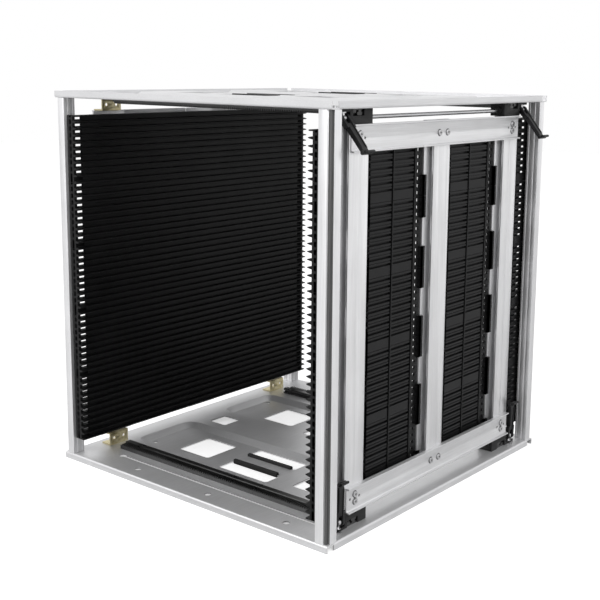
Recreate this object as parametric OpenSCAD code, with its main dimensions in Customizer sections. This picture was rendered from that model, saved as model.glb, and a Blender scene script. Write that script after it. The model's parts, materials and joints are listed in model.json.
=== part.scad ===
// Adjustable printed circuit board magazine rack.
// X is the width adjustment, Y the board travel, Z up. Millimetres.

/* [Rack] */
// overall width of the end plates
rack_w = 530; // [480:5:580]
// overall depth of the end plates, along the board travel
rack_d = 535; // [485:5:585]
// overall height
rack_h = 570; // [515:5:625]
// sheet thickness of the end plates
sheet = 2; // [1.5:0.1:2.5]
// flange height of the end plates
flange = 10; // [9.5:0.1:12]
// length left out of each side flange at the corner
relief = 15; // [10:0.5:20]
// radius of the sheet bends, outside
bend = 3; // [2.6:0.1:3.4]

/* [Plate pressings] */
// depth of the pressed pockets
pan_depth = 7; // [5:0.5:7.5]
// distance of the pockets' rims from the side edges
pan_in = 41; // [37:0.5:50]
// half width of the flat land between the two pockets
land_half = 37; // [33:0.5:40]
// distance from a pocket's rim to the rail beside it
pan_gap = 22; // [19:0.5:26]
// horizontal run of a pocket's sloping side
pan_slope = 12; // [8:0.5:13]
// rim corner radius of a pocket
pan_r = 20; // [18:0.5:26]
// side of the square windows in the pockets
win = 66; // [58:1:70]
// distance of those windows from the middle along X
win_x = 120; // [115:1:130]
// length of the grip windows
grip_w = 100; // [90:1:106]
// sheet left between a grip window and the pocket's slope
grip_edge = 2; // [1.5:0.5:8]
// width of the bridge between two grip windows
grip_bar = 34; // [28:1:36]
// side of the small windows on the land
land_win = 36; // [28:1:40]
// corner radius of the windows
win_r = 5; // [3:0.5:6]
// distance of the small windows from the side edges
land_in = 85; // [70:1:95]
// diameter of the locating holes in the edge strips
loc_d = 10; // [8:0.5:11]
// spacing of the locating holes
loc_pitch = 148.5; // [140:0.5:150]
// diameter of the small holes in the pocket corners
drain_d = 8; // [5:0.5:9]
// width of the clamp slot
slot_w = 5.6; // [5.4:0.1:6.2]
// diameter of the keyhole at the end of the clamp slot
key_d = 11.5; // [11:0.5:13]
// distance from the fixed wall's tooth tips to the keyholes
key_in = 42; // [35:1:45]

/* [Posts] */
// side of the square corner posts
post = 20; // [18:0.5:20]
// step of the groove down the outer corner
post_step = 6.5; // [5:0.5:7]
// depth of that step
post_cut = 3.5; // [2.5:0.5:4]

/* [Toothed rails] */
// distance of the rails' inner edges from the front and back edges
rail_in = 84.5; // [84:0.5:86]
// width of a rail
rail_w = 22; // [21.5:0.1:22.4]
// height of the guide rib
rail_h = 9; // [8.6:0.1:9.1]
// height of the rail's foot
rail_foot = 2.4; // [1.8:0.1:3]
// width of the toothed strip
rack_wd = 8; // [7:0.5:8.5]
// module of the teeth
gear_m = 1.25; // [1.2:0.01:1.28]
// distance from the fixed wall's tooth tips to the rails' ends
rail_short = 16; // [12:1:20]
// distance of a rail's outer screws from its ends
rail_end = 30; // [20:1:60]

/* [Walls] */
// distance from the plate's edge to the slot floors
wall_in = 33.5; // [33:0.5:36]
// pitch of the board slots
slot_pitch = 10; // [9.6:0.1:10]
// depth of a slot
slot_depth = 7.5; // [6:0.5:8]
// tooth thickness at its root
tooth_root = 3.4; // [2.8:0.1:4]
// tooth thickness at its tip
tooth_tip = 1.2; // [1:0.1:1.8]
// distance of the panels' ends from the plate's front and back edges
panel_in = 5.5; // [5:0.5:10]
// distance of the outer uprights from the front and back edges
upright_in_y = 77.5; // [76.5:0.5:78.5]
// width of an upright's outer flange
upright_w = 40; // [36:1:40]
// width of an upright's inner flange
upright_in = 60; // [54:1:60]
// height of the cross bars
bar_h = 35; // [32:0.5:36]
// distance of the cross bars' ends from the front and back edges
bar_in = 59.5; // [58:0.5:63]
// length of the clips that hold a panel, each side of a seam
clip_h = 30; // [24:1:34]

/* [Sliders, shafts and levers] */
// length of a slider along the board travel
slider_l = 68; // [66.5:0.5:71]
// distance of a slider's outer end from the front and back edges
slider_in = 34.5; // [33.5:0.5:35.5]
// clearance of a slider from plate and rail
gap = 0.4; // [0.35:0.01:0.45]
// diameter of the pinion shafts
rod_d = 5.6; // [5:0.1:5.6]
// radial running clearance of shafts and pins
fit = 0.05; // [0.03:0.01:0.06]
// height of shaft and lever axes from the plate
axis_h = 12.2; // [12.2:0.1:12.4]
// distance of a lever's middle from the front and back edges
lever_in = 45.5; // [45:0.5:46]
// width of a lever
lever_w = 18; // [16:0.5:18]
// length of a lever from its pin to its tab
lever_l = 60; // [50:1:64]
// length of the thumb tab
tab_l = 14; // [10:0.5:16]
// angle of the two upper levers as drawn
lever_open = 38; // [0:1:45]
// diameter of a clamp stud
stud_d = 4.6; // [4:0.1:4.8]

/* [View] */
// one sub-part or all of them

/* [Hidden] */
hx = rack_w / 2;
hy = rack_d / 2;
board_half = hx - wall_in;
panel_y = hy - panel_in;
levels = 5;
pinion_z = 8;
rail_y = hy - rail_in;
upright_y = hy - upright_in_y;
bar_y = hy - bar_in;
slider_y1 = hy - slider_in;
slider_y0 = slider_y1 - slider_l;
lever_y = hy - lever_in;
pan_x = hx - pan_in;
pan_mid = (rail_y - pan_gap + land_half) / 2;
pan_y = (rail_y - pan_gap - land_half) / 2;
grip_d = pan_y - pan_slope - grip_bar / 2 - grip_edge;
land_x = hx - land_in;
z1 = rack_h - flange;
tip = board_half - slot_depth;
web_t = 3.5;
web = board_half + web_t;
in_t = 2.5;
out_x = web + 12;
out_t = 3;
bar_t = 2;
lip = 6.5;
slider_h = 20;
slider_x0 = tip + 1;
slider_x1 = out_x + 2;
frame0 = flange + slider_h;
frame1 = rack_h - frame0;
slots = floor((frame1 - frame0 - 2) / (levels * slot_pitch));
panel_h = slots * slot_pitch;
stack = levels * panel_h;
panel0 = (rack_h - stack) / 2;
shaft_x = out_x - 9;
pivot_x = out_x - 1;
slot_y = lever_y;
slot_x0 = key_in - tip;
slot_x1 = pivot_x + 5;
rail_x0 = rail_short - tip;
rail_x1 = out_x;
pitch_r = gear_m * pinion_z / 2;
tooth_p = PI * gear_m;
line_h = axis_h - pitch_r;
add = 0.88 * gear_m;
ded = 1.2 * gear_m;
back = 0.22;
pin_r = 2;
screw_dx = 10;
rail_hole_y = rail_y + 6.2;
function rail_hole_x(k) = rail_x0 + rail_end + k * ((rail_x1 - rail_x0) / 2 - rail_end);

module to_top() { translate([0, 0, rack_h]) mirror([0, 0, 1]) children(); }
module to_front() { mirror([0, 1, 0]) children(); }
module to_fixed() { mirror([1, 0, 0]) children(); }
module along_x(x0, x1) {
  translate([x0, 0, 0]) rotate([90, 0, 90]) linear_extrude(height = x1 - x0) children();
}
module along_y(y0, y1) {
  translate([0, y1, 0]) rotate([90, 0, 0]) linear_extrude(height = y1 - y0) children();
}
module bore_y(x, z, y0, y1, r) {
  translate([x, y1, z]) rotate([90, 0, 0]) cylinder(h = y1 - y0, r = r, $fn = 32);
}
module bore_x(y, z, x0, x1, r) {
  translate([x0, y, z]) rotate([0, 90, 0]) cylinder(h = x1 - x0, r = r, $fn = 24);
}
module bore_z(x, y, z0, z1, r) {
  translate([x, y, z0]) cylinder(h = z1 - z0, r = r, $fn = 28);
}

// quarter bend and flange in section, edge at u = 0, sheet towards +u
module bend_section(run) {
  difference() {
    union() {
      translate([bend, flange - sheet]) square([run - bend, sheet]);
      square([sheet, flange - bend]);
      intersection() {
        translate([bend, flange - bend]) circle(r = bend, $fn = 32);
        translate([0, flange - bend]) square(bend);
      }
    }
    translate([bend, flange - bend]) circle(r = bend - sheet, $fn = 32);
  }
}

// sheet with its front and back flanges, in section
module sheet_section() {
  translate([-hy, 0]) bend_section(hy);
  mirror([1, 0]) translate([-hy, 0]) bend_section(hy);
}

// one pressed pocket as a solid, rim at height z
module pan(z) {
  x = pan_x - pan_r;
  y = pan_y - pan_r;
  for (sx = [-1, 1], sy = [-1, 1]) {
    translate([sx * x, sy * y, z - pan_depth])
      cylinder(h = pan_depth, r1 = pan_r - pan_slope, r2 = pan_r, $fn = 40);
  }
  along_x(-x, x) polygon([[-pan_y, z], [pan_y, z],
    [pan_y - pan_slope, z - pan_depth], [pan_slope - pan_y, z - pan_depth]]);
  along_y(-y, y) polygon([[-pan_x, z], [pan_x, z],
    [pan_x - pan_slope, z - pan_depth], [pan_slope - pan_x, z - pan_depth]]);
}

module window(cx, cy, wx, wy, r) {
  translate([cx, cy, -1]) linear_extrude(height = flange + 2) {
    square([wx - 2 * r, wy], center = true);
    square([wx, wy - 2 * r], center = true);
    for (sx = [-1, 1], sy = [-1, 1])
      translate([sx * (wx / 2 - r), sy * (wy / 2 - r)]) circle(r = r, $fn = 24);
  }
}

// pressed end plate, flanges pointing down, outer face at z = 0
module plate() {
  difference() {
    union() {
      along_x(-hx + bend, hx - bend) sheet_section();
      for (m = [0, 1], s = [0, 1]) mirror([m, 0, 0]) mirror([0, s, 0]) {
        along_x(hx - bend, hx) translate([-hy, 0]) bend_section(relief);
      }
      for (m = [0, 1]) mirror([m, 0, 0])
        along_y(-hy + relief, hy - relief) translate([-hx, 0]) bend_section(bend + 1);
      for (s = [-1, 1]) translate([0, s * pan_mid, 0]) pan(flange - sheet);
    }
    for (s = [-1, 1]) translate([0, s * pan_mid, 0]) {
      pan(flange);
      for (m = [-1, 1]) {
        window(m * win_x, 0, win, win, win_r);
        window(0, m * (grip_bar + grip_d) / 2, grip_w, grip_d, win_r);
        bore_z(m * (pan_x - 21), s * (pan_y - 25), -1, flange, drain_d / 2);
      }
    }
    for (m = [-1, 1]) window(m * land_x, 0, land_win, land_win, 3);
    for (s = [-1, 1]) {
      translate([slot_x0, s * slot_y - slot_w / 2, 1])
        cube([slot_x1 - slot_x0, slot_w, flange]);
      bore_z(slot_x0, s * slot_y, 1, flange + 1, key_d / 2);
      bore_z(slot_x1, s * slot_y, 1, flange + 1, slot_w / 2);
      for (k = [-1, 0, 1])
        bore_z(-s * 28 + k * loc_pitch, s * (hy - 23), 1, flange + 1, loc_d / 2);
      for (m = [-1, 1], k = [0, 1])
        bore_z(m * (hx - 6.5 - 7 * k), s * (hy - 13.5 + 7 * k), 1, flange + 1, 2.1);
      for (k = [0:2]) bore_z(rail_hole_x(k), s * rail_hole_y, 1, flange + 1, 1.6);
    }
  }
}

// corner post in section, outer corner towards +u +v
module post_section() {
  difference() {
    polygon([[0, 0], [3, 0], [3, 0.8], [4.5, 0.8], [4.5, 0], [post - 8, 0], [post - 8, 0.8],
      [post - 6.5, 0.8], [post - 6.5, 0], [post, 0], [post, post - post_step],
      [post - post_cut, post - post_step], [post - post_cut, post - post_cut],
      [post - post_step, post - post_cut], [post - post_step, post], [0, post],
      [0, post - 6.5], [0.8, post - 6.5], [0.8, post - 8], [0, post - 8],
      [0, 4.5], [0.8, 4.5], [0.8, 3], [0, 3]]);
    for (k = [0, 1]) translate([post - 6 - 7 * k, post - 13 + 7 * k]) circle(r = 2.1, $fn = 24);
  }
}

module corner_post() {
  translate([hx - 0.5 - post, hy - 0.5 - post, flange])
    linear_extrude(height = z1 - flange) post_section();
}

module post_screws() {
  for (m = [-1, 1], s = [-1, 1], k = [0, 1]) {
    x = m * (hx - 6.5 - 7 * k);
    y = s * (hy - 13.5 + 7 * k);
    difference() {
      union() {
        bore_z(x, y, flange - sheet - 2.6, flange - sheet, 3.4);
        bore_z(x, y, flange - sheet - 0.2, flange + 12, 2.1);
      }
      translate([x, y, flange - sheet - 3]) cylinder(h = 1.8, r = 1.5, $fn = 6);
    }
  }
}

// rail on its plate, at the back: guide rib inside, toothed strip outside
module rail() {
  z = flange;
  g0 = rail_y + 1;
  g1 = rail_y + 11.5;
  k0 = rail_y + rail_w - rack_wd;
  difference() {
    along_x(rail_x0, rail_x1) polygon([[rail_y, z], [rail_y + rail_w, z],
      [rail_y + rail_w, z + rail_foot], [g1 - 2.5, z + rail_foot], [g1 - 2.5, z + 5],
      [g1, z + 5], [g1, z + rail_h - 0.8], [g1 - 0.8, z + rail_h], [g0 + 0.8, z + rail_h],
      [g0, z + rail_h - 0.8], [g0, z + 5], [g0 + 2.5, z + 5], [g0 + 2.5, z + rail_foot],
      [rail_y, z + rail_foot]]);
    for (k = [0:2]) bore_z(rail_hole_x(k), rail_hole_y, z - 1, z + 6, 1.6);
  }
  n0 = ceil((rail_x0 + 1 - shaft_x) / tooth_p - 0.5);
  n1 = floor((rail_x1 - 1 - shaft_x) / tooth_p - 0.5);
  half = tooth_p / 4 - back;
  ta = half - add * tan(20);
  tb = half + ded * tan(20);
  ht = z + line_h + add;
  hr = z + line_h - ded;
  along_y(k0, rail_y + rail_w) polygon(concat(
    [[rail_x1, hr], [rail_x1, z + rail_foot - 0.5], [rail_x0, z + rail_foot - 0.5],
    [rail_x0, hr]],
    [for (n = [n0:n1], c = [0:3]) let (x = shaft_x + (n + 0.5) * tooth_p)
      [x + [-tb, -ta, ta, tb][c], [hr, ht, ht, hr][c]]]));
}

module rail_screws() {
  for (s = [-1, 1], k = [0:2]) {
    bore_z(rail_hole_x(k), s * rail_hole_y, flange - sheet - 2, flange - sheet, 3.4);
    bore_z(rail_hole_x(k), s * rail_hole_y, flange - sheet - 0.2, flange + 5, 1.6);
  }
}

// edge strips clipped on both sides of the grip bridges
module grip_strips() {
  z = flange - pan_depth;
  e = grip_bar / 2;
  for (s = [-1, 1], m = [-1, 1]) translate([0, s * pan_mid, 0]) mirror([0, m == 1 ? 1 : 0, 0])
    along_x(-grip_w / 2 + win_r + 0.5, grip_w / 2 - win_r - 0.5) polygon([[e - 4, z], [e, z], [e, z - sheet],
      [e - 4, z - sheet], [e - 4, z - sheet - 0.8], [e + 1.4, z - sheet - 0.8],
      [e + 1.8, z - sheet - 0.4], [e + 1.8, z + 3.4], [e + 1, z + 4.2],
      [e - 3, z + 4.2], [e - 4, z + 3.2]]);
}

// clip behind the far edge of the inner flange of the upright at y
module clip(y) {
  e = y + upright_in / 2;
  translate([web - 1, e, 0]) cube([in_t + 3.5, 5, clip_h - 0.1]);
  translate([web + in_t, e - 4, 0]) cube([2.5, 5, clip_h - 0.1]);
}

// moulded slot panel: teeth towards the boards, raised fields between the uprights
module panel(level) {
  z = panel0 + level * panel_h;
  r = tooth_root / 2;
  t = tooth_tip / 2;
  along_y(-panel_y, panel_y) polygon(concat(
    [[web, z + panel_h - 0.1], [web, z + 0.1], [tip, z + 0.1], [tip, z + t],
    [board_half, z + r]],
    [for (k = [1:slots - 1], c = [0:3]) [[board_half, tip, tip, board_half][c],
      z + k * slot_pitch + [-r, -t, t, r][c]]],
    [[board_half, z + panel_h - r], [tip, z + panel_h - t], [tip, z + panel_h - 0.1]]));
  f = upright_in / 2 + 2;
  e = 12;
  for (s = [-1, 1]) mirror([0, s == 1 ? 1 : 0, 0]) {
    translate([web - 1, f, z + e]) cube([5, upright_y - 2 * f, panel_h - 2 * e]);
    translate([web - 1, upright_y + f, z + e]) cube([5, panel_y - 3 - upright_y - f, panel_h - 2 * e]);
    translate([web - 1, panel_y - 3, z + 0.1]) cube([7, 3, panel_h - 0.2]);
    for (q = [0, 1]) translate([0, 0, z + (q == 0 ? 0.1 : panel_h - clip_h)]) {
      clip(0);
      clip(upright_y);
      translate([0, 2 * upright_y, 0]) mirror([0, 1, 0]) clip(upright_y);
    }
  }
}

// I-shaped upright
module upright_section(y) {
  w = upright_w / 2;
  v = upright_in / 2;
  polygon([[web, y - v], [web + in_t, y - v], [web + in_t, y - 2], [out_x - out_t, y - 2],
    [out_x - out_t, y - w], [out_x, y - w], [out_x, y + w], [out_x - out_t, y + w],
    [out_x - out_t, y + 2], [web + in_t, y + 2], [web + in_t, y + v], [web, y + v]]);
}

module upright(y) {
  difference() {
    translate([0, 0, frame0]) linear_extrude(height = frame1 - frame0) upright_section(y);
    for (z = [frame0, frame1 - bar_h]) wall_holes(z, y);
  }
}

// the fastener places of a cross bar, at the upright standing at y
module wall_holes(z, y) {
  c = z + bar_h / 2;
  if (y == 0) {
    for (s = [-1, 1]) bore_x(s * screw_dx, c, out_x - out_t - 1, out_x + 9, 1.9);
  } else {
    for (s = [-1, 1]) bore_x(y, c + s * 5, out_x - out_t - 1, out_x + 9, 1.9);
  }
}

module cross_bar(z) {
  c = z + bar_h / 2;
  difference() {
    along_y(-bar_y, bar_y) polygon([[out_x, z], [out_x + lip, z], [out_x + lip, z + 1.6],
      [out_x + bar_t + 1, z + bar_t], [out_x + bar_t, z + bar_t + 1],
      [out_x + bar_t, z + bar_h - bar_t - 1], [out_x + bar_t + 1, z + bar_h - bar_t],
      [out_x + lip, z + bar_h - 1.6], [out_x + lip, z + bar_h], [out_x, z + bar_h]]);
    for (y = [-upright_y, 0, upright_y]) wall_holes(z, y);
    for (s = [-1, 1], q = [-1, 1]) bore_x(s * upright_y + q * screw_dx, c, out_x - 1, out_x + 4, 2);
  }
}

module wall_screw(y, z) {
  difference() {
    union() {
      bore_x(y, z, out_x + bar_t, out_x + bar_t + 2.2, 4);
      bore_x(y, z, out_x - out_t, out_x + bar_t + 0.2, 1.9);
    }
    translate([out_x + bar_t + 0.8, y, z]) rotate([0, 90, 0]) cylinder(h = 2, r = 1.7, $fn = 6);
  }
}

module wall_screws() {
  for (z = [frame0 + bar_h / 2, frame1 - bar_h / 2]) {
    for (s = [-1, 1]) {
      wall_screw(s * screw_dx, z);
      for (q = [-1, 1]) wall_screw(s * upright_y, z + q * 5);
    }
  }
}

// folded channel between plate and fixed wall, at the back on the base
module bracket() {
  x0 = board_half - 1.5;
  x1 = out_x + 3;
  difference() {
    along_y(upright_y - 19, upright_y + 17) polygon([[x0, flange], [x1, flange], [x1, flange + 2],
      [x0 + 2, flange + 2], [x0 + 2, frame0 - 2], [x1, frame0 - 2], [x1, frame0], [x0, frame0]]);
    for (q = [-1, 1]) bore_x(upright_y - 1 + q * 9.5, flange + slider_h / 2 + 0.8, x0 - 1, x0 + 3, 2.4);
  }
}

// sliding block of the moving wall, at the back on the base
module slider() {
  zr = flange + axis_h;
  y3 = lever_y - lever_w / 2 - 2;
  difference() {
    union() {
      translate([slider_x0, slider_y0, flange + gap])
        cube([slider_x1 - slider_x0, slider_y1 - slider_y0, slider_h - gap]);
      bore_y(shaft_x, zr, slider_y0 - 4, slider_y0 + 1, 6.5);
    }
    translate([slider_x0 - 1, rail_y - gap, flange])
      cube([slider_x1 - slider_x0 + 2, rail_w + 2 * gap, rail_h + 0.5]);
    bore_y(shaft_x, zr, slider_y0 - 5, rail_y + rail_w + 4.4, rod_d / 2 + fit);
    bore_y(shaft_x, zr, rail_y + rail_w - rack_wd - 0.6, rail_y + rail_w + 0.6,
      pitch_r + add + 0.5);
    translate([pivot_x - 8.5, y3, flange + 4]) cube([12, slider_y1 - y3 + 1, slider_h]);
    bore_z(pivot_x, lever_y, flange, flange + 5, stud_d / 2 + 0.25);
    translate([slider_x0 + 2.5, slider_y0 + 3, flange]) cube([9.5, rail_y - slider_y0 - 6, 8]);
  }
}

// stud with its cross pin, washer and head
module stud() {
  zr = flange + axis_h;
  bore_z(pivot_x, lever_y, flange - sheet - gap - 3, flange - sheet - gap, 4.6);
  bore_z(pivot_x, lever_y, flange - sheet - gap - 1, zr - 2, stud_d / 2);
  bore_z(pivot_x, lever_y, flange + 4, flange + 5.2, 4.2);
  bore_y(pivot_x, zr, lever_y - 2.4, lever_y + 2.4, 4.2);
  bore_y(pivot_x, zr, lever_y - lever_w / 2 - 0.6, lever_y + lever_w / 2 + 0.6, pin_r);
}

// clamp lever standing closed on the base, about its pin
module lever_body() {
  w = lever_w / 2;
  difference() {
    translate([0, w, 0]) rotate([90, 0, 0]) linear_extrude(height = lever_w) {
      circle(r = 6, $fn = 40);
      polygon([[-1.5, 3], [5.8, 0.5], [6.2, 12], [7.5, lever_l - 10], [5.5 + tab_l, lever_l - 4],
        [5.5 + tab_l, lever_l + 1.5], [4, lever_l], [1, lever_l - 6], [-1, 14]]);
    }
    translate([0, w + 1, 0]) rotate([90, 0, 0]) cylinder(h = lever_w + 2, r = pin_r + fit, $fn = 32);
    translate([-8, -3, -8]) cube([20, 6, 17.5]);
    translate([4.4, -w + 2.6, 12]) rotate([0, 1.6, 0]) cube([4, lever_w - 5.2, lever_l - 26]);
  }
}

module lever(open) {
  translate([pivot_x, lever_y, flange + axis_h]) rotate([0, open, 0]) lever_body();
}

// pinion in section; one tooth points along -v
module pinion_section() {
  half = 90 / pinion_z - back / pitch_r * 180 / PI;
  ra = pitch_r + add;
  rf = pitch_r - ded;
  polygon([for (k = [0:pinion_z - 1], c = [0:5])
    let (a = 360 / pinion_z * k - 90,
      d = half * [-1.62, -1.28, -0.5, 0.5, 1.28, 1.62][c],
      r = [rf, pitch_r - 0.35 * gear_m, ra, ra, pitch_r - 0.35 * gear_m, rf][c])
    [r * cos(a + d), r * sin(a + d)]]);
}

module shaft() {
  zr = flange + axis_h;
  ye = rail_y + rail_w + 4;
  bore_y(shaft_x, zr, -ye, ye, rod_d / 2);
  for (s = [-1, 1]) translate([shaft_x, s * (rail_y + rail_w - rack_wd / 2), zr])
    rotate([90, 0, 0]) translate([0, 0, -rack_wd / 2]) linear_extrude(height = rack_wd)
      pinion_section();
}

module base_plate() { color("silver") plate(); }
module top_plate() { color("silver") to_top() plate(); }
module post_front_fixed() { color("gainsboro") to_front() to_fixed() corner_post(); }
module post_front_moving() { color("gainsboro") to_front() corner_post(); }
module post_back_fixed() { color("gainsboro") to_fixed() corner_post(); }
module post_back_moving() { color("gainsboro") corner_post(); }
module post_screws_base() { color("dimgray") post_screws(); }
module post_screws_top() { color("dimgray") to_top() post_screws(); }
module rail_base_front() { color([0.1, 0.1, 0.1]) to_front() rail(); }
module rail_base_back() { color([0.1, 0.1, 0.1]) rail(); }
module rail_top_front() { color([0.1, 0.1, 0.1]) to_top() to_front() rail(); }
module rail_top_back() { color([0.1, 0.1, 0.1]) to_top() rail(); }
module rail_screws_base() { color("dimgray") rail_screws(); }
module rail_screws_top() { color("dimgray") to_top() rail_screws(); }
module grip_strips_base() { color([0.08, 0.08, 0.08]) grip_strips(); }
module grip_strips_top() { color([0.08, 0.08, 0.08]) to_top() grip_strips(); }
module fixed_panel_1() { color([0.12, 0.12, 0.12]) to_fixed() panel(0); }
module fixed_panel_2() { color([0.12, 0.12, 0.12]) to_fixed() panel(1); }
module fixed_panel_3() { color([0.12, 0.12, 0.12]) to_fixed() panel(2); }
module fixed_panel_4() { color([0.12, 0.12, 0.12]) to_fixed() panel(3); }
module fixed_panel_5() { color([0.12, 0.12, 0.12]) to_fixed() panel(4); }
module fixed_upright_front() { color("gainsboro") to_fixed() upright(-upright_y); }
module fixed_upright_mid() { color("gainsboro") to_fixed() upright(0); }
module fixed_upright_back() { color("gainsboro") to_fixed() upright(upright_y); }
module fixed_bar_base() { color("gainsboro") to_fixed() cross_bar(frame0); }
module fixed_bar_top() { color("gainsboro") to_fixed() cross_bar(frame1 - bar_h); }
module fixed_screws() { color("dimgray") to_fixed() wall_screws(); }
module bracket_base_front() { color("olive") to_fixed() to_front() bracket(); }
module bracket_base_back() { color("olive") to_fixed() bracket(); }
module bracket_top_front() { color("olive") to_top() to_fixed() to_front() bracket(); }
module bracket_top_back() { color("olive") to_top() to_fixed() bracket(); }
module moving_panel_1() { color([0.12, 0.12, 0.12]) panel(0); }
module moving_panel_2() { color([0.12, 0.12, 0.12]) panel(1); }
module moving_panel_3() { color([0.12, 0.12, 0.12]) panel(2); }
module moving_panel_4() { color([0.12, 0.12, 0.12]) panel(3); }
module moving_panel_5() { color([0.12, 0.12, 0.12]) panel(4); }
module moving_upright_front() { color("gainsboro") upright(-upright_y); }
module moving_upright_mid() { color("gainsboro") upright(0); }
module moving_upright_back() { color("gainsboro") upright(upright_y); }
module moving_bar_base() { color("gainsboro") cross_bar(frame0); }
module moving_bar_top() { color("gainsboro") cross_bar(frame1 - bar_h); }
module moving_screws() { color("dimgray") wall_screws(); }
module slider_base_front() { color([0.1, 0.1, 0.1]) to_front() slider(); }
module slider_base_back() { color([0.1, 0.1, 0.1]) slider(); }
module slider_top_front() { color([0.1, 0.1, 0.1]) to_top() to_front() slider(); }
module slider_top_back() { color([0.1, 0.1, 0.1]) to_top() slider(); }
module stud_base_front() { color("dimgray") to_front() stud(); }
module stud_base_back() { color("dimgray") stud(); }
module stud_top_front() { color("dimgray") to_top() to_front() stud(); }
module stud_top_back() { color("dimgray") to_top() stud(); }
module lever_base_front() { color([0.15, 0.15, 0.15]) to_front() lever(0); }
module lever_base_back() { color([0.15, 0.15, 0.15]) lever(0); }
module lever_top_front() { color([0.15, 0.15, 0.15]) to_top() to_front() lever(lever_open); }
module lever_top_back() { color([0.15, 0.15, 0.15]) to_top() lever(lever_open); }
module shaft_base() { color("silver") shaft(); }
module shaft_top() { color("silver") to_top() shaft(); }

base_plate();
top_plate();
post_front_fixed();
post_front_moving();
post_back_fixed();
post_back_moving();
post_screws_base();
post_screws_top();
rail_base_front();
rail_base_back();
rail_top_front();
rail_top_back();
rail_screws_base();
rail_screws_top();
grip_strips_base();
grip_strips_top();
fixed_panel_1();
fixed_panel_2();
fixed_panel_3();
fixed_panel_4();
fixed_panel_5();
fixed_upright_front();
fixed_upright_mid();
fixed_upright_back();
fixed_bar_base();
fixed_bar_top();
fixed_screws();
bracket_base_front();
bracket_base_back();
bracket_top_front();
bracket_top_back();
moving_panel_1();
moving_panel_2();
moving_panel_3();
moving_panel_4();
moving_panel_5();
moving_upright_front();
moving_upright_mid();
moving_upright_back();
moving_bar_base();
moving_bar_top();
moving_screws();
slider_base_front();
slider_base_back();
slider_top_front();
slider_top_back();
stud_base_front();
stud_base_back();
stud_top_front();
stud_top_back();
lever_base_front();
lever_base_back();
lever_top_front();
lever_top_back();
shaft_base();
shaft_top();
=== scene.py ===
import json
import math
import bmesh
import bpy
from mathutils import Matrix, Vector

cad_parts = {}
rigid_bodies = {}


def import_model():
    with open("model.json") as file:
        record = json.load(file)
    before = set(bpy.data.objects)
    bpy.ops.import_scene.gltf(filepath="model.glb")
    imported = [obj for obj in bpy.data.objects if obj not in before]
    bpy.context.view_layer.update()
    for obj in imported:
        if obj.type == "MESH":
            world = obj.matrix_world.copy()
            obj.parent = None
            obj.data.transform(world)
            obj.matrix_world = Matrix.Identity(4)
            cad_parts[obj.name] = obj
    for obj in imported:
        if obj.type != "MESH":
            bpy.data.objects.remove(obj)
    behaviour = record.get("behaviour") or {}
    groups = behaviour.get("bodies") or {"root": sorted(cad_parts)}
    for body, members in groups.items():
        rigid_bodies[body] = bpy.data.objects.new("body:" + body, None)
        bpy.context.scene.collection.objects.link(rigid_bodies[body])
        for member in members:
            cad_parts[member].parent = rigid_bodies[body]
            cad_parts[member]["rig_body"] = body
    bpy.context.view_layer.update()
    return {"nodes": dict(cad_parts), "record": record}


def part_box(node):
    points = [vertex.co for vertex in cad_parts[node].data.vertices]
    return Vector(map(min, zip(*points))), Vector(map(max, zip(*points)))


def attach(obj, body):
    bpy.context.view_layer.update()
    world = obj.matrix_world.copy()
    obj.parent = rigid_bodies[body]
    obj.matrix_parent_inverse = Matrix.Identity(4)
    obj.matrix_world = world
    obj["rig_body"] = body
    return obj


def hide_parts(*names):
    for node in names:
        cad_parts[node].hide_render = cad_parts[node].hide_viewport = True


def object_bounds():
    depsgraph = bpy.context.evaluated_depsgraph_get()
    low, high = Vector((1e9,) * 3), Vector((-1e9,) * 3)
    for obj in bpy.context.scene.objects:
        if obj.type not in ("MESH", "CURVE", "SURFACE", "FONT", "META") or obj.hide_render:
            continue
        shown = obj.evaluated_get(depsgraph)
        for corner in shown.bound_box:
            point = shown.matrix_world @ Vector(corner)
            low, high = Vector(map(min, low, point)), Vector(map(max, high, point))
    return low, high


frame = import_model()
nodes = frame["nodes"]
mm = 0.001
lowCorner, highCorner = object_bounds()


# materials: patterns on Object coordinates, so a piece keeps its grain as it moves
def newMaterial(name):
    material = bpy.data.materials.new(name)
    material.use_nodes = True
    tree = material.node_tree
    shader = tree.nodes["Principled BSDF"]
    return material, tree, shader


def objectPattern(tree, stretch, scale, detail=4.0, rough=0.55, seedShift=0.0):
    coords = tree.nodes.new("ShaderNodeTexCoord")
    mapping = tree.nodes.new("ShaderNodeMapping")
    mapping.inputs["Scale"].default_value = stretch
    mapping.inputs["Location"].default_value = (seedShift, seedShift * 0.7, seedShift * 1.3)
    noise = tree.nodes.new("ShaderNodeTexNoise")
    noise.inputs["Scale"].default_value = scale
    noise.inputs["Detail"].default_value = detail
    noise.inputs["Roughness"].default_value = rough
    tree.links.new(coords.outputs["Object"], mapping.inputs["Vector"])
    tree.links.new(mapping.outputs["Vector"], noise.inputs["Vector"])
    return noise.outputs["Fac"]


def spread(tree, value, low, high, fromLow=0.3, fromHigh=0.7):
    ranger = tree.nodes.new("ShaderNodeMapRange")
    ranger.inputs["From Min"].default_value = fromLow
    ranger.inputs["From Max"].default_value = fromHigh
    ranger.inputs["To Min"].default_value = low
    ranger.inputs["To Max"].default_value = high
    tree.links.new(value, ranger.inputs["Value"])
    return ranger.outputs["Result"]


def tinted(tree, value, dark, light):
    ramp = tree.nodes.new("ShaderNodeValToRGB")
    ramp.color_ramp.elements[0].position = 0.32
    ramp.color_ramp.elements[0].color = (*dark, 1)
    ramp.color_ramp.elements[1].position = 0.68
    ramp.color_ramp.elements[1].color = (*light, 1)
    tree.links.new(value, ramp.inputs["Fac"])
    return ramp.outputs["Color"]


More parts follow.
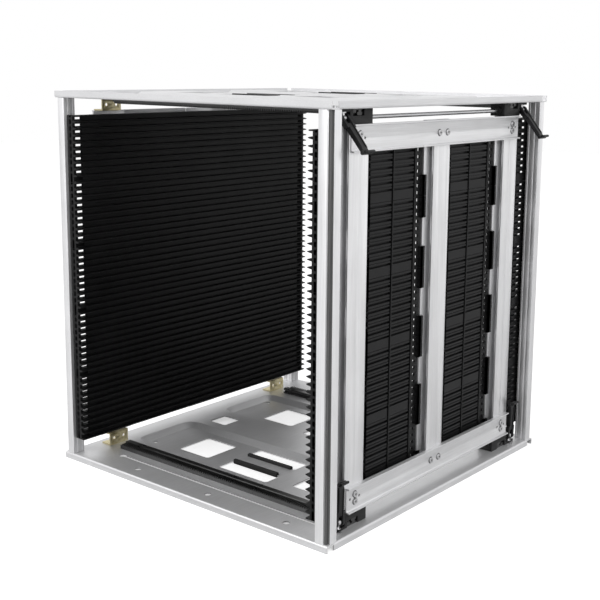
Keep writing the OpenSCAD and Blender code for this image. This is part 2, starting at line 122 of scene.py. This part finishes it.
def blended(tree, first, second, amount, kind="MULTIPLY"):
    mix = tree.nodes.new("ShaderNodeMix")
    mix.data_type = "RGBA"
    mix.blend_type = kind
    mix.inputs["Factor"].default_value = amount
    # the colour sockets of this node share their names with others, so they go by number
    tree.links.new(first, mix.inputs[6])
    tree.links.new(second, mix.inputs[7])
    return mix.outputs[2]


def embossed(tree, shader, height, strength, distance):
    bump = tree.nodes.new("ShaderNodeBump")
    bump.inputs["Strength"].default_value = strength
    bump.inputs["Distance"].default_value = distance
    tree.links.new(height, bump.inputs["Height"])
    tree.links.new(bump.outputs["Normal"], shader.inputs["Normal"])


def metalFinish(name, dark, light, roughness, stretch, grain=900.0, bump=0.05, metallic=1.0):
    material, tree, shader = newMaterial(name)
    streaks = objectPattern(tree, stretch, grain)
    clouds = objectPattern(tree, (1, 1, 1), 14.0, 3.0, 0.5, 0.37)
    shade = tinted(tree, clouds, (0.93, 0.93, 0.93), (1, 1, 1))
    color = blended(tree, tinted(tree, streaks, dark, light), shade, 1.0)
    tree.links.new(color, shader.inputs["Base Color"])
    tree.links.new(spread(tree, streaks, roughness - 0.06, roughness + 0.08), shader.inputs["Roughness"])
    shader.inputs["Metallic"].default_value = metallic
    embossed(tree, shader, streaks, bump, 0.0002)
    return material


def plasticFinish(name, dark, light, roughness, grain=2600.0, bump=0.12, specular=0.5):
    material, tree, shader = newMaterial(name)
    stipple = objectPattern(tree, (1, 1, 1), grain, 2.0, 0.6)
    clouds = objectPattern(tree, (1, 1, 1), 22.0, 4.0, 0.6, 0.21)
    tree.links.new(tinted(tree, clouds, dark, light), shader.inputs["Base Color"])
    tree.links.new(spread(tree, clouds, roughness - 0.05, roughness + 0.08), shader.inputs["Roughness"])
    shader.inputs["Specular IOR Level"].default_value = specular
    embossed(tree, shader, stipple, bump, 0.00006)
    return material


# grain runs along the axis whose stretch is small
metalLooks = {
    "plateMetal": {"dark": (0.68, 0.68, 0.69), "light": (0.76, 0.76, 0.77), "roughness": 0.42,
                   "stretch": (1.0, 0.03, 1.0), "metallic": 0.6},
    "postMetal": {"dark": (0.80, 0.80, 0.81), "light": (0.88, 0.88, 0.89), "roughness": 0.36,
                  "stretch": (1.0, 1.0, 0.015), "metallic": 0.8},
    "barMetal": {"dark": (0.70, 0.70, 0.71), "light": (0.78, 0.78, 0.79), "roughness": 0.42,
                 "stretch": (1.0, 0.015, 1.0), "metallic": 0.7},
    # painted shade: a dark metal for the post grooves, the screw sockets, the open bar holes and the rings
    # round the screw heads
    "grooveMetal": {"dark": (0.10, 0.10, 0.10), "light": (0.16, 0.16, 0.16), "roughness": 0.5,
                    "stretch": (1.0, 1.0, 0.015), "metallic": 0.6},
    "screwMetal": {"dark": (0.55, 0.55, 0.56), "light": (0.72, 0.72, 0.73), "roughness": 0.26,
                   "stretch": (1.0, 1.0, 1.0), "grain": 1500.0},
    "rodMetal": {"dark": (0.66, 0.66, 0.67), "light": (0.78, 0.78, 0.79), "roughness": 0.22,
                 "stretch": (1.0, 0.02, 1.0)},
    "yellowMetal": {"dark": (0.50, 0.42, 0.22), "light": (0.74, 0.68, 0.46), "roughness": 0.34,
                    "stretch": (1.0, 1.0, 1.0), "grain": 160.0},
}
plasticLooks = {
    "panelPlastic": {"dark": (0.006, 0.006, 0.0063), "light": (0.010, 0.010, 0.0105),
                     "roughness": 0.38, "specular": 0.2},
    "leverPlastic": {"dark": (0.014, 0.014, 0.015), "light": (0.012, 0.012, 0.0125),
                     "roughness": 0.36, "specular": 0.22},
    "sliderPlastic": {"dark": (0.010, 0.010, 0.010), "light": (0.012, 0.012, 0.0125),
                      "roughness": 0.42, "specular": 0.22},
    "railPlastic": {"dark": (0.010, 0.010, 0.010), "light": (0.018, 0.018, 0.018),
                    "roughness": 0.30, "specular": 0.7},
    "trimRubber": {"dark": (0.008, 0.008, 0.008), "light": (0.016, 0.016, 0.016), "roughness": 0.62,
                   "grain": 1800.0, "bump": 0.2, "specular": 0.35},
}
finishes = {name: metalFinish(name, **look) for name, look in metalLooks.items()}
finishes.update({name: plasticFinish(name, **look) for name, look in plasticLooks.items()})
finishOf = {
    "plate_aluminium": "plateMetal", "extruded_aluminium": "postMetal", "panel_plastic": "panelPlastic",
    "slider_plastic": "sliderPlastic", "lever_plastic": "leverPlastic", "rail_plastic": "railPlastic",
    "yellow_zinc": "yellowMetal", "steel": "screwMetal", "steel_rod": "rodMetal", "edge_trim": "trimRubber",
}
slotOf = {entry["node"]: entry["material_slot"] for entry in frame["record"]["subparts"]}
print("materials made")


# nodes carried over from the CAD keep their shape and take a finish by slot
for name, piece in nodes.items():
    finish = "barMetal" if "_bar_" in name else finishOf[slotOf[name]]
    piece.data.materials.clear()
    piece.data.materials.append(finishes[finish])
print("nodes finished", len(nodes))


# slot panels, by geometry nodes; the tree's sizes are those of the sliding wall
slotPanels = {
    "pitch": 10.0 * mm,
    "rows": 10,
    "levels": 5,
    "toothTip": 1.0 * mm,
    "toothRoot": 3.8 * mm,
    "toothLength": 7.5 * mm,
    "tipCurve": 1.6,
    "webThickness": 3.5 * mm,
    "barRise": 4.4 * mm,
    "barHeight": 6.8 * mm,
    "edgeRibs": ((0.0, 2.3 * mm), (0.56, 2.7 * mm)),
    "edgeRibRise": 1.1 * mm,
    "ribWidth": 1.9 * mm,
    "ribRise": 0.8 * mm,
    "windowHeight": 4.6 * mm,
    "bays": ((-262, -225.5), (-154.5, -107), (-103, -57), (35.5, 83), (87, 133), (225.5, 262)),
    "lowBays": ((-53, -44.5), (137, 147.5)),
    "lowRise": 1.0 * mm,
    "ribs": (-105, -55, 85, 135),
    "fixedWindows": ((-258, -246), (246, 258)),
    "movingWindows": ((-258, -246), (-42.2, -36), (149.3, 155.5), (246, 258)),
    "endWidth": 3.0 * mm,
    "endReach": 2.6 * mm,
    "clipReach": 30 * mm,
    "clipWidth": 5 * mm,
    "clipHook": 4 * mm,
    "clipFlange": 2.5 * mm,
    "lap": 0.1 * mm,
}


def feed(tree, value, target):
    if isinstance(value, (int, float)):
        target.default_value = value
    else:
        tree.links.new(value, target)


# a box from spans in x, y and z, repeated upwards
def boxRow(tree, join, spans, count, pitch):
    cube = tree.nodes.new("GeometryNodeMeshCube")
    cube.inputs["Size"].default_value = [high - low for low, high in spans]
    line = tree.nodes.new("GeometryNodeMeshLine")
    line.inputs["Start Location"].default_value = [(low + high) / 2 for low, high in spans]
    step = tree.nodes.new("ShaderNodeCombineXYZ")
    feed(tree, pitch, step.inputs["Z"])
    tree.links.new(step.outputs[0], line.inputs["Offset"])
    feed(tree, count, line.inputs["Count"])
    placed = tree.nodes.new("GeometryNodeInstanceOnPoints")
    tree.links.new(line.outputs["Mesh"], placed.inputs["Points"])
    tree.links.new(cube.outputs["Mesh"], placed.inputs["Instance"])
    tree.links.new(placed.outputs["Instances"], join.inputs["Geometry"])
    return cube, placed


# narrows a tooth of this length towards its tip, at the low x end
def taperTooth(tree, cube, placed, length, ratio):
    cube.inputs["Vertices X"].default_value = 5
    place = tree.nodes.new("GeometryNodeSetPosition")
    position = tree.nodes.new("GeometryNodeInputPosition")
    parts = tree.nodes.new("ShaderNodeSeparateXYZ")
    whole = tree.nodes.new("ShaderNodeCombineXYZ")
    share = tree.nodes.new("ShaderNodeMapRange")
    share.inputs["From Min"].default_value = length / 2
    share.inputs["From Max"].default_value = -length / 2
    curve = tree.nodes.new("ShaderNodeMath")
    curve.operation = "POWER"
    curve.inputs[1].default_value = slotPanels["tipCurve"]
    width = tree.nodes.new("ShaderNodeMapRange")
    width.inputs["To Min"].default_value = 1.0
    scaled = tree.nodes.new("ShaderNodeMath")
    scaled.operation = "MULTIPLY"
    for source, target in (
            (ratio, width.inputs["To Max"]),
            (position.outputs[0], parts.inputs[0]),
            (parts.outputs["X"], share.inputs["Value"]),
            (share.outputs["Result"], curve.inputs[0]),
            (curve.outputs[0], width.inputs["Value"]),
            (parts.outputs["Z"], scaled.inputs[0]),
            (width.outputs["Result"], scaled.inputs[1]),
            (parts.outputs["X"], whole.inputs["X"]),
            (parts.outputs["Y"], whole.inputs["Y"]),
            (scaled.outputs[0], whole.inputs["Z"]),
            (cube.outputs["Mesh"], place.inputs["Geometry"]),
            (whole.outputs[0], place.inputs["Position"]),
            (place.outputs["Geometry"], placed.inputs["Instance"])):
        tree.links.new(source, target)


def panelInputs():
    return {"Pitch": slotPanels["pitch"], "Teeth": slotPanels["rows"] * slotPanels["levels"] - 1,
            "Tip share": slotPanels["toothTip"] / slotPanels["toothRoot"]}


def slotPanelTree(windows):
    spec = slotPanels
    low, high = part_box("moving_panel_1")
    lap, step, ends = spec["lap"], spec["pitch"], high.y
    base, top = low.z - lap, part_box("moving_panel_5")[1].z + lap
    panel = spec["rows"] * step
    tip = low.x
    back = tip + spec["toothLength"]
    web = back + spec["webThickness"]
    face = web + spec["barRise"]
    tree = bpy.data.node_groups.new("slotPanelTree", "GeometryNodeTree")
    tree.interface.new_socket("Geometry", in_out="OUTPUT", socket_type="NodeSocketGeometry")
    for label, value in panelInputs().items():
        kind = "NodeSocketInt" if isinstance(value, int) else "NodeSocketFloat"
        tree.interface.new_socket(label, in_out="INPUT", socket_type=kind)
    given = tree.nodes.new("NodeGroupInput")
    join = tree.nodes.new("GeometryNodeJoinGeometry")
    pitch, teeth = given.outputs["Pitch"], given.outputs["Teeth"]

    def row(x, y, z, count=spec["levels"], rise=panel):
        return boxRow(tree, join, (x, y, z), count, rise)

    half = spec["toothRoot"] / 2
    tooth = row((tip, back + lap), (-ends, ends), (base + step - half, base + step + half), teeth, pitch)
    taperTooth(tree, *tooth, spec["toothLength"], given.outputs["Tip share"])
    for z in (base, top - half):
        row((tip + spec["toothTip"], back + lap), (-ends, ends), (z, z + half), 1)

    # webs between the windows, and the solid strips between one window and the next above it
    edges = [-ends] + [y * mm for pair in windows for y in pair] + [ends]
    for start, stop in zip(edges[0::2], edges[1::2]):
        row((back, web), (start, stop), (base + 1.5 * lap, base + panel - 1.5 * lap))
    solid = (step - spec["windowHeight"]) / 2
    for start, stop in windows:
        row((back, web), (start * mm - lap / 2, stop * mm + lap / 2),
            (base + step - solid, base + step + solid), teeth, pitch)

    # raised bars, each with two edge ribs, and a plain band above and below every seam
    rise = (step - spec["barHeight"]) / 2
    bars = spec["rows"] - 2
    inner = web - lap
    for level in range(spec["levels"]):
        foot = base + level * panel
        first = foot + 1.5 * step + rise
        last = foot + panel - step / 2 + rise
        for start, stop in spec["bays"]:
            y = (start * mm, stop * mm)
            row((inner, face - spec["edgeRibRise"]), y, (first, first + spec["barHeight"]), bars, step)
            for share, height in spec["edgeRibs"]:
                ribFoot = first + share * spec["barHeight"]
                row((face - spec["edgeRibRise"] - lap, face), y, (ribFoot, ribFoot + height), bars, step)
            for z in ((foot + 3 * lap, foot + 1.5 * step - rise), (last, foot + panel - 3 * lap)):
                row((inner, face - 3 * lap), y, z, 1)
        for start, stop in spec["lowBays"]:
            row((inner, web + spec["lowRise"]), (start * mm, stop * mm),
                (first, first + spec["barHeight"]), bars, step)

    # upright ribs and the two end walls
    for y in spec["ribs"]:
        row((inner, face + spec["ribRise"]), (y * mm, y * mm + spec["ribWidth"]),
            (base + 3 * lap, base + panel - 3 * lap))
    for y in (-ends, ends - spec["endWidth"]):
        row((inner, high.x + spec["endReach"]), (y, y + spec["endWidth"]),
            (base + 2 * lap, base + panel - 2 * lap))

    # clips that hold the panels on the inner flanges of the uprights
    outer = high.x - 1 * mm
    width, hook = spec["clipWidth"], spec["clipHook"]
    for place in ("front", "mid", "back"):
        flange = [corner.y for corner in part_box("moving_upright_" + place)]
        for post, over in (((flange[0] - width, flange[0]), (flange[0] - width, flange[0] + hook)),
                           ((flange[1], flange[1] + width), (flange[1] - hook, flange[1] + width))):
            for foot in (base, base + panel - spec["clipReach"]):
                z = (foot + 2 * lap, foot + spec["clipReach"] - 2 * lap)
                row((inner, outer), post, z)
                row((web + spec["clipFlange"], outer), over, z)

    real = tree.nodes.new("GeometryNodeRealizeInstances")
    paint = tree.nodes.new("GeometryNodeSetMaterial")
    paint.inputs["Material"].default_value = finishes["panelPlastic"]
    tree.links.new(join.outputs[0], real.inputs[0])
    tree.links.new(real.outputs[0], paint.inputs["Geometry"])
    tree.links.new(paint.outputs[0], tree.nodes.new("NodeGroupOutput").inputs[0])
    return tree


def makeHolder(mesh):
    holder = bpy.data.objects.new("holder", mesh)
    bpy.context.scene.collection.objects.link(holder)
    return holder


# the holder's evaluated shape as a plain mesh; the holder and its modifier go
def plainMesh(holder, name):
    bpy.context.view_layer.update()
    graph = bpy.context.evaluated_depsgraph_get()
    mesh = bpy.data.meshes.new_from_object(holder.evaluated_get(graph))
    mesh.name = name
    bpy.data.objects.remove(holder)
    return mesh


def addPiece(name, mesh, body, replaced=()):
    piece = bpy.data.objects.new(name, mesh)
    bpy.context.scene.collection.objects.link(piece)
    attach(piece, body)
    if replaced:
        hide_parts(*replaced)
    return piece


# the fixed wall is the same wall turned half round
def makePanels(name, windows, body, wall):
    holder = makeHolder(bpy.data.meshes.new("holder"))
    modifier = holder.modifiers.new("panels", "NODES")
    modifier.node_group = slotPanelTree(windows)
    values = panelInputs()
    for socket in modifier.node_group.interface.items_tree:
        if socket.in_out == "INPUT":
            modifier[socket.identifier] = values[socket.name]
    mesh = plainMesh(holder, name)
    if wall == "fixed":
        mesh.transform(Matrix.Rotation(math.pi, 4, "Z"))
    panels = ["%s_panel_%d" % (wall, k + 1) for k in range(slotPanels["levels"])]
    addPiece(name, mesh, body, panels)
    print(name, "made", len(mesh.polygons))


makePanels("slotPanelsMoving", slotPanels["movingWindows"], "moving_wall", "moving")
makePanels("slotPanelsFixed", slotPanels["fixedWindows"], "frame", "fixed")


# moulded and extruded pieces, copied from the CAD with soft edges
softEdges = {
    "levers": 0.7 * mm,
    "sliders": 0.5 * mm,
    "profiles": 0.35 * mm,
    "sharpAngle": math.radians(32),
    "weld": 0.01 * mm,
    "flatAngle": math.radians(1.2),
    "grooveReach": 6.5 * mm,
}


def roundedMesh(mesh, name, width, harden):
    holder = makeHolder(mesh)
    rounder = holder.modifiers.new("edges", "BEVEL")
    rounder.width = width
    rounder.segments = 2
    rounder.limit_method = "ANGLE"
    rounder.angle_limit = softEdges["sharpAngle"]
    rounder.harden_normals = harden
    return plainMesh(holder, name)


def softCopy(node, width):
    source = nodes[node]
    shape = bmesh.new()
    shape.from_mesh(source.data)
    bmesh.ops.remove_doubles(shape, verts=shape.verts, dist=softEdges["weld"])
    bmesh.ops.dissolve_limit(shape, angle_limit=softEdges["flatAngle"], verts=shape.verts, edges=shape.edges)
    mesh = bpy.data.meshes.new(node)
    shape.to_mesh(mesh)
    shape.free()
    mesh.shade_smooth()
    made = roundedMesh(mesh, node + "Soft", width, True)
    made.materials.clear()
    made.materials.append(source.data.materials[0])
    return addPiece(node + "Soft", made, source["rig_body"], [node])


# painted shade inside the step that runs down each post's outer corner: its faces take a dark metal
def shadeGroove(piece, name):
    low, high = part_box(name)
    middle = (low + high) / 2
    side = [math.copysign(1, middle[k]) for k in (0, 1)]
    corner = [high[k] if side[k] > 0 else low[k] for k in (0, 1)]
    piece.data.materials.append(finishes["grooveMetal"])
    for face in piece.data.polygons:
        inside = [(corner[k] - face.center[k]) * side[k] for k in (0, 1)]
        if min(inside) > 0.3 * mm and max(inside) < softEdges["grooveReach"] and abs(face.normal.z) < 0.5:
            # this face lies in the groove and takes the painted shade
            face.material_index = 1


for name in nodes:
    if name.startswith("post_") and "screws" not in name:
        shadeGroove(softCopy(name, softEdges["profiles"]), name)
    elif "_bar_" in name or "_upright_" in name or name.startswith("bracket"):
        softCopy(name, softEdges["profiles"])
    elif name.startswith("slider"):
        softCopy(name, softEdges["sliders"])
print("soft pieces made")


# clamp levers, drawn in mm standing about their pin and then turned into place
leverShape = {
    "openTop": 38,
    "eye": 5.9,
    "cheek": (4.2, 8.4),
    "neck": [(-2.2, 2), (5.4, 1), (6.2, 17), (-0.8, 16)],
    "armHalf": 5.2,
    "arm": [(-0.6, 10), (5.0, 10), (5.8, 44), (6.4, 52), (3.4, 55), (0.8, 50), (-0.5, 20)],
    "ribSpan": (3.6, 5.6),
    "rib": [(-1.2, 9), (6.2, 9), (7.0, 46), (5.2, 52), (2.2, 51), (-0.9, 18)],
    "lip": [(3.6, 50.5), (12.6, 55.2), (13.2, 57.4), (11.8, 58.8), (3.2, 55.2)],
    "lipHalf": 7.6,
    "crossBar": (5.2, 54.2, 2.7),
    "crossHalf": 9.6,
}


def prism(shape, outline, low, high):
    ends = [[shape.verts.new((x * mm, y * mm, z * mm)) for x, z in outline] for y in (low, high)]
    made = [shape.faces.new(ends[0]), shape.faces.new(list(reversed(ends[1])))]
    for k in range(len(outline)):
        after = (k + 1) % len(outline)
        made.append(shape.faces.new((ends[0][k], ends[1][k], ends[1][after], ends[0][after])))
    bmesh.ops.recalc_face_normals(shape, faces=made)


def disc(x, z, radius, count=28):
    turn = 2 * math.pi / count
    return [(x + radius * math.cos(turn * k), z + radius * math.sin(turn * k)) for k in range(count)]


def leverMesh(name):
    spec = leverShape
    shape = bmesh.new()
    for side in (-1, 1):
        cheek = sorted(side * y for y in spec["cheek"])
        prism(shape, disc(0, 0, spec["eye"]), *cheek)
        prism(shape, spec["neck"], *cheek)
        prism(shape, spec["rib"], *sorted(side * y for y in spec["ribSpan"]))
    prism(shape, spec["arm"], -spec["armHalf"], spec["armHalf"])
    prism(shape, spec["lip"], -spec["lipHalf"], spec["lipHalf"])
    prism(shape, disc(*spec["crossBar"]), -spec["crossHalf"], spec["crossHalf"])
    mesh = bpy.data.meshes.new(name)
    shape.to_mesh(mesh)
    shape.free()
    return mesh


def makeLever(node, pivot):
    front = pivot.y < 0
    top = pivot.z > (lowCorner.z + highCorner.z) / 2
    mesh = leverMesh(node)
    turn = Matrix.Rotation(math.radians(leverShape["openTop"] if top else 0), 4, "Y")
    flip = Matrix.Diagonal((1, -1 if front else 1, -1 if top else 1, 1))
    mesh.transform(Matrix.Translation(pivot) @ flip @ turn)
    if front != top:
        mesh.flip_normals()
    made = roundedMesh(mesh, node + "Shape", softEdges["levers"], False)
    made.materials.append(finishes["leverPlastic"])
    addPiece(node + "Shape", made, nodes[node]["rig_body"], [node])


for joint in frame["record"]["behaviour"]["joints"]:
    if joint["name"].startswith("lever_"):
        makeLever(joint["name"].replace("_swing", ""), Vector(joint["pos_m"]))
print("levers made")


# painted shade: dark rings round the wall screws' heads, dark discs in their sockets, and dark discs for the
# shade inside the open bar holes, in mm
barScrewShades = {
    "headHeight": 2.2,
    "seat": 5.0,
    "hole": 2.1,
    "socket": 1.65,
    "holeDepth": 1.2,
    "pairStep": 10,
    "uprightPlace": 190,
    "screwStep": 5,
}


def addDisc(shape, place, radius, depth, sides=28):
    spin = Matrix.Translation(Vector(place) * mm) @ Matrix.Rotation(math.pi / 2, 4, "Y")
    bmesh.ops.create_cone(shape, cap_ends=True, segments=sides, radius1=radius * mm,
                          radius2=radius * mm, depth=depth * mm, matrix=spin)


def makeScrewShades(wall, sign, body):
    spec = barScrewShades
    low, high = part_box(wall + "_screws")
    face = (high.x if sign > 0 else -low.x) / mm - spec["headHeight"]
    shape = bmesh.new()
    for bar in ("base", "top"):
        middle = sum(corner.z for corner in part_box("%s_bar_%s" % (wall, bar))) / 2 / mm
        screws = [(side * spec["pairStep"], middle) for side in (-1, 1)]
        holes = []
        for side in (-1, 1):
            y = side * spec["uprightPlace"]
            screws += [(y, middle + q * spec["screwStep"]) for q in (-1, 1)]
            holes += [(y + q * spec["pairStep"], middle) for q in (-1, 1)]
        for y, z in screws:
            # painted shade ring round the screw head
            addDisc(shape, (sign * (face + 0.05), y, z), spec["seat"], 0.2)
            # painted shade in the screw's socket
            addDisc(shape, (sign * (face + 0.5 * spec["headHeight"] + 0.1), y, z), spec["socket"], 0.6, 6)
        for y, z in holes:
            # painted shade inside the open hole
            addDisc(shape, (sign * (face - spec["holeDepth"] + 0.05), y, z), spec["hole"], 0.2)
    mesh = bpy.data.meshes.new(wall + "Seats")
    shape.to_mesh(mesh)
    shape.free()
    mesh.materials.append(finishes["grooveMetal"])
    addPiece(wall + "Seats", mesh, body)


makeScrewShades("moving", 1, "moving_wall")
makeScrewShades("fixed", -1, "frame")
print("screw seats made")


# camera and studio
cameraView = {
    "place": (1.0652, -1.2544, 0.6103),
    "right": (0.7817, 0.6235, 0.0129),
    "up": (-0.1148, 0.1236, 0.9857),
    "lens": 64.1,
    "shift": (-0.068, -0.085),
}
studio = {
    "worldLight": 0.55,
    "floorColor": (0.86, 0.86, 0.86),
    "floorGlow": 0.55,
    "floorSize": 6.0,
    "floorDrop": 0.2 * mm,
    "lamps": {
        "keyLamp": {"place": (-0.9, -2.0, 1.9), "target": (0, 0, 0.25), "size": (1.6, 1.2), "power": 32.0},
        "sideLamp": {"place": (2.2, -0.4, 1.5), "target": (0, 0, 0.3), "size": (1.4, 1.4), "power": 24.0},
    },
}


def makeCamera():
    view = bpy.data.cameras.new("view")
    camera = bpy.data.objects.new("camera", view)
    bpy.context.scene.collection.objects.link(camera)
    right = Vector(cameraView["right"]).normalized()
    up = Vector(cameraView["up"]).normalized()
    back = right.cross(up).normalized()
    up = back.cross(right)
    turn = Matrix((right, up, back)).transposed().to_4x4()
    camera.matrix_world = Matrix.Translation(cameraView["place"]) @ turn
    view.lens = cameraView["lens"]
    view.sensor_width = 36.0
    view.shift_x, view.shift_y = cameraView["shift"]
    bpy.context.scene.camera = camera


def areaLamp(name, place, target, size, power):
    lamp = bpy.data.lights.new(name, "AREA")
    lamp.shape = "RECTANGLE"
    lamp.size, lamp.size_y = size
    lamp.energy = power
    holder = bpy.data.objects.new(name, lamp)
    holder.location = place
    holder.rotation_euler = (Vector(target) - Vector(place)).to_track_quat("-Z", "Y").to_euler()
    bpy.context.scene.collection.objects.link(holder)


def makeWorld():
    world = bpy.data.worlds.new("studio")
    bpy.context.scene.world = world
    world.use_nodes = True
    tree = world.node_tree
    background = tree.nodes["Background"]
    path = tree.nodes.new("ShaderNodeLightPath")
    # full white for what is seen directly, reflected or through, softer for the light it gives
    seen = tree.nodes.new("ShaderNodeMath")
    seenGlass = tree.nodes.new("ShaderNodeMath")
    seenGlass.use_clamp = True
    tree.links.new(path.outputs["Is Camera Ray"], seen.inputs[0])
    tree.links.new(path.outputs["Is Glossy Ray"], seen.inputs[1])
    tree.links.new(seen.outputs[0], seenGlass.inputs[0])
    tree.links.new(path.outputs["Is Transmission Ray"], seenGlass.inputs[1])
    strength = tree.nodes.new("ShaderNodeMapRange")
    strength.inputs["To Min"].default_value = studio["worldLight"]
    strength.inputs["To Max"].default_value = 1.0
    tree.links.new(seenGlass.outputs[0], strength.inputs["Value"])
    background.inputs["Color"].default_value = (1, 1, 1, 1)
    tree.links.new(strength.outputs["Result"], background.inputs["Strength"])


def makeFloor():
    size = studio["floorSize"]
    level = lowCorner.z - studio["floorDrop"]
    mesh = bpy.data.meshes.new("floor")
    corners = [(-size, -size, level), (size, -size, level), (size, size, level), (-size, size, level)]
    mesh.from_pydata(corners, [], [(0, 1, 2, 3)])
    floor = bpy.data.objects.new("floor", mesh)
    bpy.context.scene.collection.objects.link(floor)
    material, tree, shader = newMaterial("floorPaper")
    fibres = objectPattern(tree, (1, 1, 1), 60.0)
    light = studio["floorColor"]
    tree.links.new(tinted(tree, fibres, [c * 0.985 for c in light], light), shader.inputs["Base Color"])
    shader.inputs["Roughness"].default_value = 0.9
    shader.inputs["Specular IOR Level"].default_value = 0.1
    path = tree.nodes.new("ShaderNodeLightPath")
    glow = tree.nodes.new("ShaderNodeMath")
    glow.operation = "MULTIPLY"
    glow.inputs[1].default_value = studio["floorGlow"]
    tree.links.new(path.outputs["Is Camera Ray"], glow.inputs[0])
    shader.inputs["Emission Color"].default_value = (1, 1, 1, 1)
    tree.links.new(glow.outputs[0], shader.inputs["Emission Strength"])
    mesh.materials.append(material)


makeCamera()
makeWorld()
makeFloor()
for name, lamp in studio["lamps"].items():
    areaLamp(name, **lamp)
bpy.context.scene.view_settings.view_transform = "Standard"
print("studio made")
